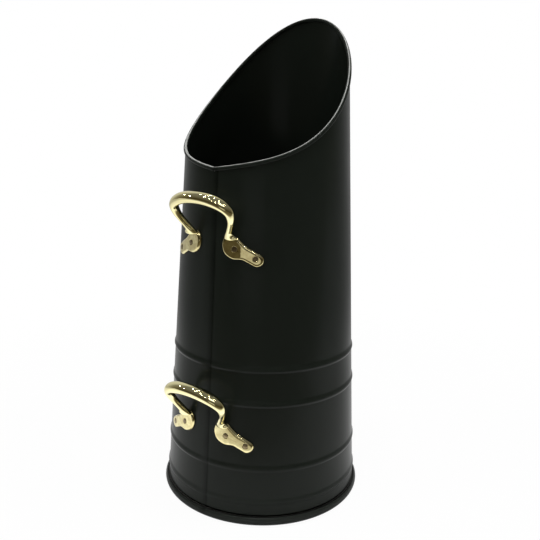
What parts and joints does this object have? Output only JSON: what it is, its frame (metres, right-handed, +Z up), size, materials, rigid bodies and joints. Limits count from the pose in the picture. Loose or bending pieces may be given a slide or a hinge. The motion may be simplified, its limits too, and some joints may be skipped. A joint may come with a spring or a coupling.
{
  "type": "coal scuttle",
  "caption": "Tall tapered black sheet-steel coal hod with a scooped mouth, wired rims and two riveted brass bow handles on its lock seam.",
  "frame": {"origin": "on the body's axis, in the plane of the flat under the foot ring", "axes": "+Z up, along the body's axis; +Y towards the lip; the lock seam and both handles face -Y"},
  "size_m": [0.2146, 0.2339, 0.5006],
  "materials": {
    "black_paint": "satin black stove paint",
    "steel_wire": "drawn wire",
    "cast_brass": "cast and polished",
    "brass_rivet": "hammered and polished"
  },
  "bodies": {
    "root": {"body_shell": "black_paint", "rim_wire": "steel_wire", "foot_wire": "steel_wire", "base_pan": "black_paint", "upper_handle": "cast_brass", "lower_handle": "cast_brass", "upper_left_inner_rivet": "brass_rivet", "upper_left_outer_rivet": "brass_rivet", "upper_right_inner_rivet": "brass_rivet", "upper_right_outer_rivet": "brass_rivet", "lower_left_inner_rivet": "brass_rivet", "lower_left_outer_rivet": "brass_rivet", "lower_right_inner_rivet": "brass_rivet", "lower_right_outer_rivet": "brass_rivet"}
  },
  "joints": []
}
